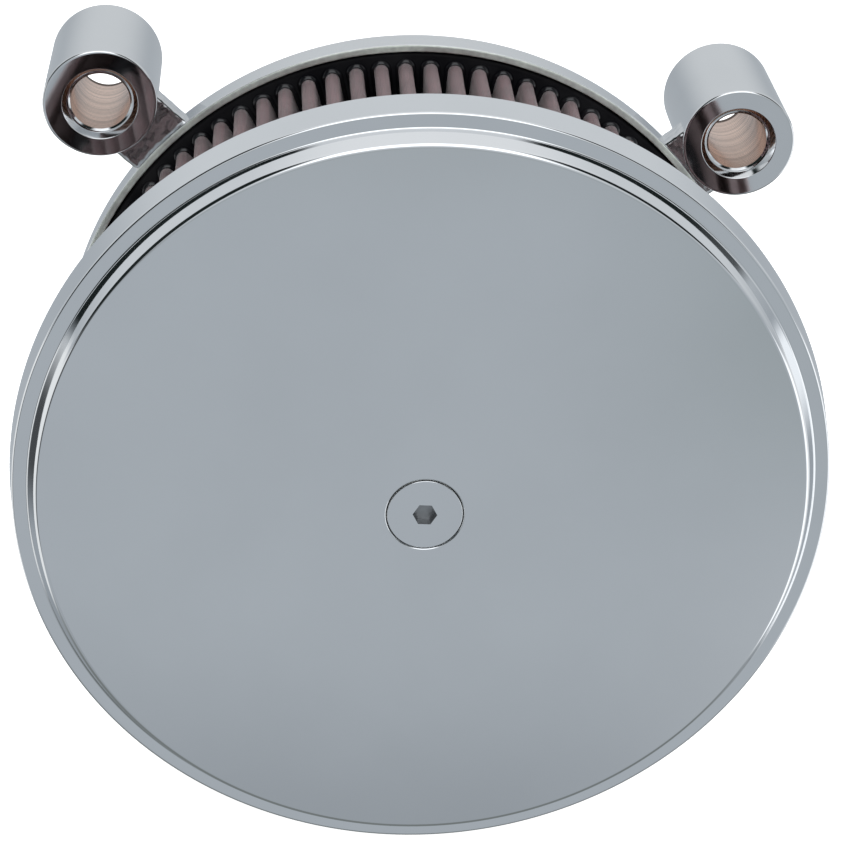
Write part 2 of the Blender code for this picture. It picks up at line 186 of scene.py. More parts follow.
def prism(across_flats, low, high, at=(0.0, 0.0), sides=6, turn=0.0):
    work = bmesh.new()
    radius = across_flats / 2 / cos(pi / sides)
    sizes = {"radius1": radius, "radius2": radius, "depth": high - low}
    bmesh.ops.create_cone(work, cap_ends=True, segments=sides, **sizes)
    place = Matrix.Translation((at[0], at[1], (low + high) / 2)) @ Matrix.Rotation(turn, 4, "Z")
    bmesh.ops.transform(work, matrix=place, verts=work.verts)
    return finished(work, "prism")


def boolean(mesh, others, operation="DIFFERENCE"):
    """The mesh with the others cut from it or joined to it, all on the bench."""
    obj = bpy.data.objects.new("boolean", mesh)
    bpy.context.scene.collection.objects.link(obj)
    tools = []
    for other in others:
        tool = bpy.data.objects.new("tool", other)
        bpy.context.scene.collection.objects.link(tool)
        tools.append(tool)
        step = obj.modifiers.new("cut", "BOOLEAN")
        step.operation = operation
        step.solver = "EXACT"
        step.object = tool
    bpy.context.view_layer.update()
    result = bpy.data.meshes.new_from_object(obj.evaluated_get(bpy.context.evaluated_depsgraph_get()))
    for helper in [obj, *tools]:
        bpy.data.objects.remove(helper)
    return result


def joined(meshes):
    work = bmesh.new()
    for mesh in meshes:
        work.from_mesh(mesh)
    return finished(work, "joined")


def moved(mesh, at, turn=0.0):
    mesh.transform(Matrix.Translation((at[0], at[1], 0.0)) @ Matrix.Rotation(turn, 4, "Z"))
    return mesh


def skin(work, previous, ring, outward=True):
    """Joins two rings of vertices all the way round; the first ring of all gets a flat end instead."""
    count = len(ring)
    if not previous:
        work.faces.new(list(reversed(ring)) if outward else ring)
        return
    for k in range(count):
        after = (k + 1) % count
        if outward:
            work.faces.new((previous[k], previous[after], ring[after], ring[k]))
        else:
            work.faces.new((previous[k], ring[k], ring[after], previous[after]))


def stand(name, mesh, surface, body, nodes=(), sharp=35.0):
    """Turns a bench mesh upright, and makes it a piece that rides on a body and stands for CAD nodes."""
    mesh.transform(UPRIGHT)
    mesh.name = name
    obj = bpy.data.objects.new(name, mesh)
    bpy.context.scene.collection.objects.link(obj)
    for material in surface if isinstance(surface, list) else [surface]:
        mesh.materials.append(material)
    mesh.shade_smooth()
    mesh.set_sharp_from_angle(angle=radians(sharp))
    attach(obj, body)
    if nodes:
        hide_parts(*nodes)
    return obj


# ---------------------------------------------------------------- materials


class Shader:
    """A small builder for node materials."""

    def __init__(self, name):
        self.material = bpy.data.materials.new(name)
        self.material.use_nodes = True
        self.tree = self.material.node_tree
        self.surface = self.tree.nodes["Principled BSDF"]

    def node(self, kind, inputs=None, **settings):
        made = self.tree.nodes.new(kind)
        for key, value in settings.items():
            setattr(made, key, value)
        for key, value in (inputs or {}).items():
            self.put(made.inputs[key], value)
        return made

    def put(self, socket, value):
        if isinstance(value, bpy.types.NodeSocket):
            self.tree.links.new(value, socket)
        else:
            socket.default_value = value

    def math(self, operation, *values):
        made = self.tree.nodes.new("ShaderNodeMath")
        made.operation = operation
        for socket, value in zip(made.inputs, values):
            self.put(socket, value)
        return made.outputs[0]

    def set(self, **values):
        for key, value in values.items():
            self.put(self.surface.inputs[key.replace("_", " ")], value)

    def place(self):
        return self.node("ShaderNodeTexCoord").outputs["Object"]

    def noise(self, scale, detail=3.0, roughness=0.5, vector=None, distortion=0.0):
        inputs = {"Scale": scale, "Detail": detail, "Roughness": roughness, "Distortion": distortion}
        inputs["Vector"] = vector or self.place()
        return self.node("ShaderNodeTexNoise", inputs).outputs["Fac"]

    def ramp(self, factor, stops):
        made = self.node("ShaderNodeValToRGB", {"Fac": factor})
        elements = made.color_ramp.elements
        while len(elements) < len(stops):
            elements.new(0.5)
        for element, (position, colour) in zip(elements, stops):
            element.position = position
            element.color = (*colour, 1.0) if isinstance(colour, tuple) else (colour, colour, colour, 1.0)
        return made.outputs["Color"]

    def range(self, value, low, high, to_low, to_high):
        inputs = {"Value": value, "From Min": low, "From Max": high, "To Min": to_low, "To Max": to_high}
        return self.node("ShaderNodeMapRange", inputs).outputs["Result"]

    def bump(self, height, distance, strength=1.0, normal=None):
        inputs = {"Height": height, "Distance": distance, "Strength": strength}
        if normal is not None:
            inputs["Normal"] = normal
        return self.node("ShaderNodeBump", inputs).outputs["Normal"]


def chrome(name, tint, rough, ripple):
    """Bright plating: a faint polishing haze, fine wipe marks and a barely uneven surface."""
    s = Shader(name)
    haze = s.noise(38.0, 4.0)
    wipes = s.noise(900.0, 2.0)
    mix = s.math("MULTIPLY_ADD", wipes, 0.3, s.math("MULTIPLY", haze, 0.7))
    s.set(Metallic=1.0, Roughness=s.range(mix, 0.3, 0.7, rough * 0.75, rough * 1.35))
    s.set(Base_Color=s.ramp(haze, [(0.3, tuple(0.97 * c for c in tint)), (0.7, tint)]))
    s.set(Normal=s.bump(s.noise(60.0, 2.0), ripple))
    return s.material


def cast_chrome(name, tint):
    """Plating over a hand-finished casting: soft lumps and a few pits show through."""
    s = Shader(name)
    lumps = s.noise(220.0, 3.0)
    pits = s.noise(900.0, 2.0)
    s.set(Metallic=1.0, Base_Color=s.ramp(lumps, [(0.3, tuple(0.9 * c for c in tint)), (0.7, tint)]))
    s.set(Roughness=s.range(pits, 0.35, 0.7, 0.12, 0.24))
    s.set(Normal=s.bump(lumps, 0.05 * MM, 0.5, s.bump(pits, 0.006 * MM, 0.4)))
    return s.material


def machined(name, tint, pitch):
    """A bored surface with turning marks along its axis, which is Y in the frame."""
    s = Shader(name)
    place = s.node("ShaderNodeSeparateXYZ", {"Vector": s.place()}).outputs["Y"]
    wobble = s.noise(120.0, 2.0)
    phase = s.math("MULTIPLY_ADD", wobble, 1.5, s.math("MULTIPLY", place, 2 * pi / pitch))
    marks = s.math("SINE", phase)
    bands = s.node("ShaderNodeTexNoise", {"Scale": 420.0, "Detail": 2.0}, noise_dimensions="1D")
    s.put(bands.inputs["W"], place)
    colour = s.ramp(bands.outputs["Fac"], [(0.35, tuple(0.72 * c for c in tint)), (0.65, tint)])
    s.set(Metallic=1.0, Base_Color=colour, Roughness=s.range(marks, -1.0, 1.0, 0.22, 0.34))
    s.set(Normal=s.bump(marks, 0.02 * MM, 0.5))
    return s.material


def zinc(name, tint, rough):
    """Zinc plate: dull grey metal with a faint crystalline mottle and handling marks."""
    s = Shader(name)
    mottle = s.node("ShaderNodeTexVoronoi", {"Scale": 700.0, "Vector": s.place()}).outputs["Distance"]
    cloud = s.noise(150.0, 4.0)
    shade = s.math("MULTIPLY_ADD", mottle, 0.35, s.math("MULTIPLY", cloud, 0.65))
    s.set(Metallic=1.0, Base_Color=s.ramp(shade, [(0.25, tuple(0.78 * c for c in tint)), (0.7, tint)]))
    s.set(Roughness=s.range(cloud, 0.3, 0.7, rough * 0.8, rough * 1.25))
    s.set(Normal=s.bump(mottle, 0.01 * MM, 0.4))
    return s.material


def rubber(name, rough, grain, shine=0.5):
    """Black moulded rubber with a fine grain and a little dust."""
    s = Shader(name)
    fine = s.noise(1800.0, 2.0)
    dust = s.noise(90.0, 4.0)
    s.set(Base_Color=s.ramp(dust, [(0.4, (0.003, 0.003, 0.004)), (0.75, (0.010, 0.010, 0.011))]))
    s.set(Roughness=s.range(dust, 0.3, 0.7, rough, rough * 1.3), Normal=s.bump(fine, grain))
    s.surface.inputs["Specular IOR Level"].default_value = shine
    return s.material


def gauze(name):
    """Oiled cotton gauze behind a fine wire screen, mapped round the folds and along the filter's axis."""
    s = Shader(name)
    place = s.node("ShaderNodeUVMap").outputs["UV"]
    split = s.node("ShaderNodeSeparateXYZ", {"Vector": place})
    across, along = split.outputs["X"], split.outputs["Y"]
    thread_pitch = 0.8 * MM
    one = s.math("SINE", s.math("MULTIPLY", s.math("ADD", across, along), 2 * pi / thread_pitch))
    two = s.math("SINE", s.math("MULTIPLY", s.math("SUBTRACT", across, along), 2 * pi / thread_pitch))
    weave = s.math("MAXIMUM", one, two)
    oil = s.noise(140.0, 4.0)
    cloth = s.ramp(oil, [(0.3, (0.056, 0.020, 0.024)), (0.7, (0.104, 0.044, 0.050))])
    wire_pitch = 1.3 * MM
    wire_a = s.math("PINGPONG", across, wire_pitch / 2)
    wire_b = s.math("PINGPONG", along, wire_pitch / 2)
    wires = s.math("LESS_THAN", s.math("MINIMUM", wire_a, wire_b), 0.09 * MM)
    fibres = s.range(weave, -0.2, 1.0, 0.1, 1.6)
    lit = s.node("ShaderNodeVectorMath", {0: cloth, 1: fibres}, operation="MULTIPLY").outputs[0]
    mixed = s.node("ShaderNodeMix", {"Factor": s.math("MULTIPLY", wires, 0.55)}, data_type="RGBA")
    s.put(mixed.inputs["A"], lit)
    s.put(mixed.inputs["B"], (0.03, 0.025, 0.025, 1.0))
    s.set(Base_Color=mixed.outputs["Result"], Roughness=0.62)
    s.surface.inputs["Sheen Weight"].default_value = 0.25
    height = s.math("MULTIPLY_ADD", wires, 1.2, weave)
    s.set(Normal=s.bump(height, 0.12 * MM, 0.8))
    return s.material


def paper(name):
    s = Shader(name)
    fibres = s.noise(1500.0, 4.0, 0.7)
    s.set(Base_Color=s.ramp(fibres, [(0.3, (0.13, 0.13, 0.125)), (0.7, (0.23, 0.23, 0.22))]))
    s.set(Roughness=0.85, Normal=s.bump(fibres, 0.05 * MM))
    return s.material


def nylon(name):
    s = Shader(name)
    cloud = s.noise(300.0, 3.0)
    s.set(Base_Color=s.ramp(cloud, [(0.3, (0.70, 0.70, 0.66)), (0.7, (0.80, 0.80, 0.77))]))
    s.set(Roughness=s.range(cloud, 0.3, 0.7, 0.3, 0.45), Normal=s.bump(cloud, 0.01 * MM))
    return s.material


COVER_CHROME = chrome("cover_chrome", (0.80, 0.815, 0.83), 0.045, 0.004 * MM)
SCREW_CHROME = chrome("screw_chrome", (0.80, 0.815, 0.83), 0.07, 0.004 * MM)
PLATE_CHROME = chrome("plate_chrome", (0.77, 0.78, 0.79), 0.06, 0.01 * MM)
CAST_CHROME = cast_chrome("cast_chrome", (0.74, 0.75, 0.76))
BORE_METAL = machined("bored_metal", (0.84, 0.64, 0.54), 0.9 * MM)
INSIDE_NICKEL = zinc("inside_nickel", (0.62, 0.47, 0.46), 0.3)
# Painted highlight: a near-white metal for the plate rim's front face, so that it reads as a bright band of
# light.
RIM_PAINTED_HIGHLIGHT = zinc("rim_painted_highlight", (0.95, 0.99, 0.93), 0.62)
SOCKET_METAL = zinc("socket_plating", (0.42, 0.43, 0.44), 0.4)
BORE_SCALE = zinc("bore_scale", (0.13, 0.085, 0.065), 0.5)
ZINC = zinc("zinc_plate", (0.62, 0.62, 0.60), 0.34)
ZINC_SHEET = zinc("zinc_sheet", (0.56, 0.56, 0.55), 0.38)
SEAL_RUBBER = rubber("seal_rubber", 0.5, 0.02 * MM, 0.15)
BEAD_RUBBER = rubber("bead_rubber", 0.14, 0.005 * MM)
GAUZE = gauze("cotton_gauze")
GASKET = paper("gasket_paper")
NYLON = nylon("nylon")


# ---------------------------------------------------------------- cover and its screw


def dome(radius, edge, rise):
    """Height of the cover's shallow dome above its edge, where `edge` is the face's own radius."""
    return rise * (1 - (radius / edge) ** 2)


def make_cover():
    """The spun sheet: a conical well for the screw, the dome, the step, the flange and the outer wall."""
    s = Span("cover")
    flange = s.rear + 9.6 * MM
    rim = s.rear + 14.2 * MM
    face = s.radius - 7.3 * MM
    rise = s.front - rim
    well, wall, hole = 9.45 * MM, 1.15 * MM, 5.0 * MM
    cone = s.front - wall - (well - hole) / tan(SCREW_CONE)
    parts = [k / 16 for k in range(3, 16)]
    outer = [
        (hole, cone),
        (well, s.front - wall, 0.2 * MM),
        (well, s.front, 0.45 * MM),
        *((r, rim + dome(r, face, rise)) for r in (face * t for t in parts)),
        (face, rim, 1.6 * MM),
        (s.radius - 5.0 * MM, flange, 0.65 * MM),
        (s.radius - COVER_DRAFT, flange, 0.7 * MM),
        (s.radius, s.rear, 0.4 * MM),
    ]
    inner = [
        (s.radius - COVER_SHEET, s.rear, 0.4 * MM),
        (s.radius - COVER_SHEET - COVER_DRAFT, flange - COVER_SHEET, 0.3 * MM),
        (s.radius - 5.8 * MM, flange - COVER_SHEET, 1.5 * MM),
        (face - 0.8 * MM, rim - COVER_SHEET, 0.5 * MM),
        *((r, rim + dome(r, face, rise) - COVER_SHEET) for r in (face * t for t in reversed(parts))),
        (well + COVER_SHEET, s.front - COVER_SHEET, 0.3 * MM),
        (well + COVER_SHEET, s.front - wall - 0.45 * MM, 0.3 * MM),
        (hole + 0.9 * MM, cone - 0.78 * MM, 0.2 * MM),
    ]
    profile = fillet(outer + inner)
    mesh = lathe(profile)
    turn_back = max(range(len(profile)), key=lambda i: (round(profile[i][0], 6), -profile[i][1]))
    for index, polygon in enumerate(mesh.polygons):
        polygon.material_index = 1 if index // ROUND > turn_back else 0
    stand("cover_spun", mesh, [COVER_CHROME, INSIDE_NICKEL], "cover_shell", ["cover"])
    g = Span("cover_gasket")
    gasket_width = 4 * MM
    ring = lathe(ring_section(g.radius - gasket_width, g.radius, g.rear, g.front, 0.8 * MM))
    stand("cover_rubber_ring", ring, SEAL_RUBBER, "cover_shell", ["cover_gasket"])


def thread(radius, low, high, pitch, steps=32):
    """A threaded rod: a rod whose radius follows a helix, tapering away at both ends."""
    rows_per_turn = 8
    rows = int((high - low) / pitch * rows_per_turn)
    work = bmesh.new()
    depth = 0.5 * pitch
    previous = None
    for row in range(rows + 1):
        height = low + (high - low) * row / rows
        fade = min(1.0, (height - low) / pitch, (high - height) / pitch)
        ring = []
        for k in range(steps):
            turn = (height / pitch - k / steps) % 1.0
            groove = depth * abs(2 * turn - 1) * max(fade, 0.0)
            end = depth * 0.8 * (1 - min(1.0, (height - low) / pitch))
            r = radius - groove - end
            angle = 2 * pi * k / steps
            ring.append(work.verts.new((r * cos(angle), r * sin(angle), height)))
        skin(work, previous, ring)
        previous = ring
    work.faces.new(previous)
    return finished(work, "thread")


def socket_head(profile, across_flats, depth, top, steps):
    """A turned head with a hexagon socket, whose inside takes the second material."""
    head = lathe(profile, steps, closed=False)
    head = boolean(head, [prism(across_flats, top - depth, top + MM, turn=radians(30))])
    margin = 0.05 * MM
    reach = across_flats / sqrt(3) + margin
    for face in head.polygons:
        x, y, z = face.center
        inside = sqrt(x * x + y * y) < reach and top - depth - margin < z < top - margin
        face.material_index = 1 if inside else 0
    return head


def make_cover_screw():
    """The flush screw, its socket and thread, and the thin conical washer under its head."""
    s = Span("cover_screw")
    shank, edge = 3.97 * MM, 0.4 * MM
    neck = s.front - edge - (s.radius - shank) / tan(SCREW_CONE)
    thread_start = neck - 14 * MM
    plain_end = neck - 14.6 * MM
    head = fillet(
        [
            (0.0, s.front),
            (s.radius, s.front, 0.22 * MM),
            (s.radius, s.front - edge, 0.05 * MM),
            (shank, neck),
            (0.0, neck),
        ],
        closed=False,
    )
    top = socket_head(head, COVER_KEY, 3.0 * MM, s.front, SCREW_FACETS)
    rod = thread(shank, s.rear, thread_start, SCREW_PITCH_COVER)
    plain = lathe([(0.0, neck), (shank, neck), (shank, plain_end), (0.0, plain_end)], SMALL, closed=False)
    mesh = joined([top, rod, plain])
    stand("cover_bolt", mesh, [SCREW_CHROME, SOCKET_METAL], "cover_bolt", ["cover_screw"])
    w = Span("cover_screw_washer")
    thick = 0.47 * MM
    low = w.radius - (w.front - w.rear) * tan(SCREW_CONE)
    ring = fillet(
        [
            (w.radius - thick, w.front, 0.1 * MM),
            (w.radius, w.front, 0.1 * MM),
            (low, w.rear, 0.1 * MM),
            (low - thick, w.rear, 0.1 * MM),
        ]
    )
    stand("cover_bolt_washer", lathe(ring, FINE), NYLON, "cover_washer", ["cover_screw_washer"])


# ---------------------------------------------------------------- backing plate


def boss_places():
    """Bench places of the two bosses, read from the O-rings behind them."""
    left, right = Span("boss_o_ring_left"), Span("boss_o_ring_right")
    return {"left": Vector((left.x, left.y)), "right": Vector((right.x, right.y))}


def make_disc():
    """The plate's disc: rim, filter seat, bell mouth and rear relief, with countersunk screw holes. The rim's
    front face takes a near-white second material, which is a painted highlight.
    """
    rim, rim_width = 92.2 * MM, 2.0 * MM
    height = 8.5 * MM
    relief = 1.5 * MM
    lip_in, lip_out, lip = 25.4 * MM, 35.0 * MM, 14.8 * MM
    profile = fillet(
        [
            (rim - rim_width, height, 0.35 * MM),
            (rim, height, 0.6 * MM),
            (rim, 0.0, 0.8 * MM),
            (84.0 * MM, 0.0, 0.5 * MM),
            (82.5 * MM, relief, 0.8 * MM),
            (53.5 * MM, relief, 0.8 * MM),
            (52.0 * MM, 0.0, 0.5 * MM),
            (lip_in, 0.0, 0.4 * MM),
            (lip_in, lip, 4.6 * MM),
            (lip_out, lip, 4.6 * MM),
            (lip_out, PLATE_FLOOR, 1.2 * MM),
            (rim - rim_width, PLATE_FLOOR, 0.8 * MM),
        ],
        steps=10,
    )
    disc = lathe(profile)
    # The rim's front face gets the near-white second material: a painted highlight.
    for face in disc.polygons:
        x, y, z = face.center
        out = sqrt(x * x + y * y)
        painted_rim = z > height - 0.15 * MM and out > rim - rim_width - 0.2 * MM
        face.material_index = 1 if painted_rim else 0
    above, below = 6 * MM, -2 * MM
    sink, hole = 6.4 * MM, 3.5 * MM
    countersunk = fillet(
        [(0.0, above), (sink, above), (sink, 3.9 * MM), (hole, 1.0 * MM), (hole, below), (0.0, below)],
        closed=False,
    )
    tools = []
    for i in (1, 2, 3):
        s = Span(f"throttle_screw_{i}")
        tools.append(lathe(countersunk, SMALL, (s.x, s.y), closed=False))
    return boolean(disc, tools)


def make_boss(at, askew):
    """A breather boss: chrome outside, a countersunk mouth, and a bored inside in its second material.

    The bore's far end has the third. The front was faced by hand and leans towards the plate's middle.
    """
    bore = 7.6 * MM
    scale_end = 2.2 * MM
    front, rear = BOSS_FRONT, -29.0 * MM
    groove_in, groove_out, groove = 10.3 * MM, 12.7 * MM, -27.2 * MM
    profile = fillet(
        [
            (9.7 * MM, front, 0.2 * MM),
            (BOSS_RADIUS, front, 0.7 * MM),
            (BOSS_RADIUS, rear, 0.7 * MM),
            (groove_out, rear, 0.15 * MM),
            (groove_out, groove, 0.3 * MM),
            (groove_in, groove, 0.3 * MM),
            (groove_in, rear, 0.15 * MM),
            (8.2 * MM, rear, 0.2 * MM),
            (bore, rear + 0.6 * MM, 0.1 * MM),
            (bore, rear + scale_end),
            (bore, front - 2.3 * MM, 0.1 * MM),
            (8.1 * MM, front - 1.8 * MM, 0.1 * MM),
            (8.5 * MM, front - 1.7 * MM, 0.1 * MM),
        ]
    )
    mesh = lathe(profile, BOSS_FACETS, at)
    inward = -at.normalized()
    for vertex in mesh.vertices:
        if vertex.co.z > front - 3 * MM:
            across = (Vector(vertex.co[:2]) - at).dot(inward)
            vertex.co.z -= tan(askew) * (across + BOSS_RADIUS)
    for face in mesh.polygons:
        middle = Vector(face.center[:2]) - at
        if middle.length < bore + 0.05 * MM:
            face.material_index = 2 if face.center.z < rear + scale_end + 0.2 * MM else 1
        else:
            face.material_index = 0
    return mesh


def make_arm(at, askew):
    """A short cast bar from the rim into a boss, wider on its upper side, with a hand-finished surface.

    Its front stays below the boss's leaning face.
    """
    start, end = 90.9 * MM, at.length - 9.2 * MM
    low = 0.35 * MM
    high = min(8.15 * MM, BOSS_FRONT - 0.1 * MM - 2 * BOSS_RADIUS * tan(askew))
    upper, lower = 11.4 * MM, 8.0 * MM
    if at.x < 0:
        upper, lower = lower, upper
    stations, around = 60, 160
    turn = Matrix.Rotation(atan2(at.y, at.x), 3, "Z")
    corner = 1.3 * MM
    work = bmesh.new()
    previous = None
    for i in range(stations + 1):
        u = start + (end - start) * i / stations
        ring = []
        for k in range(around):
            a = 2 * pi * k / around
            reach = max(abs(cos(a)), abs(sin(a)))
            v, w = cos(a) / reach, sin(a) / reach
            half_wide, half_tall = (upper + lower) / 2, (high - low) / 2
            v, w = v * half_wide, w * half_tall
            over_v = max(abs(v) - (half_wide - corner), 0.0)
            over_w = max(abs(w) - (half_tall - corner), 0.0)
            over = sqrt(over_v**2 + over_w**2)
            if over > corner:
                v -= over_v * (1 - corner / over) * (1 if v > 0 else -1)
                w -= over_w * (1 - corner / over) * (1 if w > 0 else -1)
            point = Vector((u, v + (upper - lower) / 2, (low + high) / 2 + w))
            edge = min(over / corner, 1.0)
            lumps = noise.noise(point * 180) * 0.12 * MM
            nicks = noise.noise(point * 700) * (0.006 + 0.08 * edge) * MM
            point += Vector((0, v / half_wide, w / half_tall)) * (lumps + nicks - 0.22 * MM)
            ring.append(work.verts.new(turn @ point))
        skin(work, previous, ring)
        previous = ring
    work.faces.new(previous)
    return finished(work, "arm")


def make_backing_plate():
    body, slot, nodes = "mounting_plate", "chrome_casting", ["backing_plate"]
    stand("plate_disc", make_disc(), [PLATE_CHROME, RIM_PAINTED_HIGHLIGHT], body, nodes)
    for side, at in boss_places().items():
        askew = BOSS_FACE_TILT[side]
        surfaces = [PLATE_CHROME, BORE_METAL, BORE_SCALE]
        stand(f"breather_boss_{side}", make_boss(at, askew), surfaces, body, nodes)
        stand(f"boss_arm_{side}", make_arm(at, askew), CAST_CHROME, body, nodes, sharp=60)


# ---------------------------------------------------------------- filter element


def pleat_path(tip, root):
    """One pleat as (distance out, distance across) points, from the middle of one valley to the next."""
    step = 2 * pi / PLEATS
    gap = root * sin(step / 2) - PLEAT_ROOT_HALF
    points = []
    for k in range(3):
        a = pi / 2 * (1 - k / 3)
        points.append((root + gap * (1 - sin(a)), -root * sin(step / 2) + gap * cos(a)))
    reach = tip - PLEAT_TIP_HALF
    for k in range(5):
        t = k / 5
        half = PLEAT_ROOT_HALF + (PLEAT_TIP_HALF - PLEAT_ROOT_HALF) * t
        points.append((root + gap + (reach - root - gap) * t, -half))
    for k in range(5):
        a = pi / 2 * k / 5
        points.append((reach + PLEAT_TIP_HALF * sin(a), -PLEAT_TIP_HALF * cos(a)))
    mirrored = [(u, -v) for u, v in reversed(points[1:])]
    return points + [(tip, 0.0)] + mirrored


def pleat_tip(media):
    return media.radius - 0.1 * MM


def swung(out, side, angle):
    """A pleat point turned to its place round the filter."""
    return out * cos(angle) - side * sin(angle), out * sin(angle) + side * cos(angle)


def make_media():
    """The pleated sheet, whose folds wander a little between the end rings that hold them."""
    s = Span("filter_media")
    sunk = 0.8 * MM
    low, high = s.rear - sunk, s.front + sunk
    path = pleat_path(pleat_tip(s), PLEAT_ROOT)
    rows = 14
    work = bmesh.new()
    uv = work.loops.layers.uv.new("UVMap")
    columns = []
    travelled = [0.0]
    for a, b in zip(path, path[1:] + path[:1]):
        travelled.append(travelled[-1] + min((Vector(a) - Vector(b)).length, 2 * MM))
    for pleat in range(PLEATS):
        angle = FIRST_PLEAT + 2 * pi * pleat / PLEATS
        for i, (u, v) in enumerate(path):
            column = []
            weight = max(0.0, (u - 74 * MM) / (14 * MM))
            for row in range(rows + 1):
                height = low + (high - low) * row / rows
                seed = Vector((pleat * 3.7, height * 26, 0.0))
                held = sin(pi * row / rows) * 0.75 + 0.25
                lean = noise.noise(seed) * 0.55 * MM * weight * held
                pull = noise.noise(seed + Vector((0, 0, 9))) * 0.35 * MM * weight * held
                pull -= 0.2 * MM * weight
                column.append(work.verts.new((*swung(u + pull, v + lean, angle), height)))
            columns.append((column, pleat * travelled[-1] + travelled[i]))
    count = len(columns)
    for i in range(count):
        (left, at), (right, after) = columns[i], columns[(i + 1) % count]
        after = after if i < count - 1 else at + 0.3 * MM
        for row in range(rows):
            face = work.faces.new((left[row], right[row], right[row + 1], left[row + 1]))
            heights = (row, row, row + 1, row + 1)
            for loop, across, r in zip(face.loops, (at, after, after, at), heights):
                loop[uv].uv = (across, (high - low) * r / rows)
    mesh = finished(work, "media")
    obj = stand("pleated_gauze", mesh, GAUZE, "filter_element", ["filter_media"], sharp=80)
    sheet = obj.modifiers.new("cloth", "SOLIDIFY")
    sheet.thickness = CLOTH
    sheet.offset = -1.0


def make_beads(height, direction):
    """Glossy collars of moulding resin that creep up each pleat where it leaves an end ring."""
    reach_in = 76 * MM
    path = [p for p in pleat_path(pleat_tip(Span("filter_media")), PLEAT_ROOT) if p[0] > reach_in]
    levels = [(0.0, 0.95), (0.55, 0.85), (1.05, 0.55), (1.35, 0.15), (1.4, -0.2)]
    work = bmesh.new()
    for pleat in range(PLEATS):
        angle = FIRST_PLEAT + 2 * pi * pleat / PLEATS
        size = 1.0 + 0.35 * noise.noise(Vector((pleat * 5.1, 3.0, direction)))
        previous = None
        for up, grow in levels:
            ring = []
            for i, (u, v) in enumerate(path):
                a = path[max(i - 1, 0)]
                b = path[min(i + 1, len(path) - 1)]
                normal = Vector((b[1] - a[1], -(b[0] - a[0]))).normalized()
                wobble = 1 + 0.25 * noise.noise(Vector((pleat * 2.3, i * 0.35, up)))
                out = u + normal.x * grow * MM * size * wobble
                side = v + normal.y * grow * MM * size * wobble
                place = (*swung(out, side, angle), height + direction * up * MM * size)
                ring.append(work.verts.new(place))
            if previous:
                for k in range(len(ring) - 1):
                    quad = (previous[k], previous[k + 1], ring[k + 1], ring[k])
                    work.faces.new(quad if direction > 0 else tuple(reversed(quad)))
            previous = ring
    return finished(work, "beads")


def make_seals():
    for node, direction in (("filter_lower_seal", 1), ("filter_upper_seal", -1)):
        s = Span(node)
        ring = lathe(ring_section(SEAL_INNER, s.radius, s.rear, s.front, 1.6 * MM))
        body, slot = "filter_element", "filter_rubber"
        stand(node.replace("filter", "moulded"), ring, SEAL_RUBBER, body, [node])
        height = s.front if direction > 0 else s.rear
        beads = make_beads(height - direction * 0.2 * MM, direction)
        stand(node.replace("filter", "resin"), beads, BEAD_RUBBER, body, sharp=80)


# ---------------------------------------------------------------- retaining plate and fasteners


def make_retainer():
    s = Span("retaining_plate")
    dish, mouth, sheet, hole = 64.2 * MM, 66.4 * MM, 1.5 * MM, 4.6 * MM
    floor, flange = s.rear, s.front - sheet
    profile = fillet(
        [
            (hole, floor + sheet, 0.2 * MM),
            (dish - sheet, floor + sheet, 2.0 * MM),
            (mouth - sheet, s.front, 2.2 * MM),
            (s.radius, s.front, 0.5 * MM),
            (s.radius, flange, 0.5 * MM),
            (mouth, flange, 0.8 * MM),
            (dish, floor, 3.2 * MM),
            (hole, floor, 0.2 * MM),
        ],
        steps=8,
    )
    tools = []
    for i in (1, 2, 3):
        screw = Span(f"retaining_screw_{i}")
        tools.append(prism(7.2 * MM, floor - MM, floor + sheet + MM, (screw.x, screw.y), SMALL))
    pressing = boolean(lathe(profile), tools)
    stand("retainer_pressing", pressing, ZINC_SHEET, "retainer", ["retaining_plate"])
    n = Span("centre_nut")
    block = prism(12.9 * MM, n.rear, n.front)
    face, corner, chamfer = 6.6 * MM, 7.6 * MM, 0.9 * MM
    envelope = fillet(
        [
            (0.0, n.front + MM),
            (face, n.front + MM),
            (face, n.front),
            (corner, n.front - chamfer),
            (corner, n.rear + chamfer),
            (face, n.rear),
            (face, n.rear - MM),
            (0.0, n.rear - MM),
        ],
        closed=False,
    )
    block = boolean(block, [lathe(envelope, SMALL, closed=False)], "INTERSECT")
    bore = prism(8.5 * MM, n.rear - MM, n.front + MM, sides=SMALL)
    stand("weld_nut", boolean(block, [bore]), ZINC, "retainer", ["centre_nut"])


def split_washer(inner, outer, low, high):
    """A helical lock washer: a square-section ring with a narrow gap and a slight spring twist."""
    work = bmesh.new()
    stations = 64
    first, around = radians(8), radians(344)
    rise = 0.12 * MM
    previous = None
    for i in range(stations + 1):
        t = i / stations
        angle = first + t * around
        lift = rise * (t - 0.5)
        ring = []
        for r, h in ((outer, low + rise), (outer, high - rise), (inner, high - rise), (inner, low + rise)):
            ring.append(work.verts.new((r * cos(angle), r * sin(angle), h + lift)))
        skin(work, previous, ring, outward=False)
        previous = ring
    work.faces.new(list(reversed(previous)))
    bmesh.ops.recalc_face_normals(work, faces=work.faces)
    return finished(work, "washer")


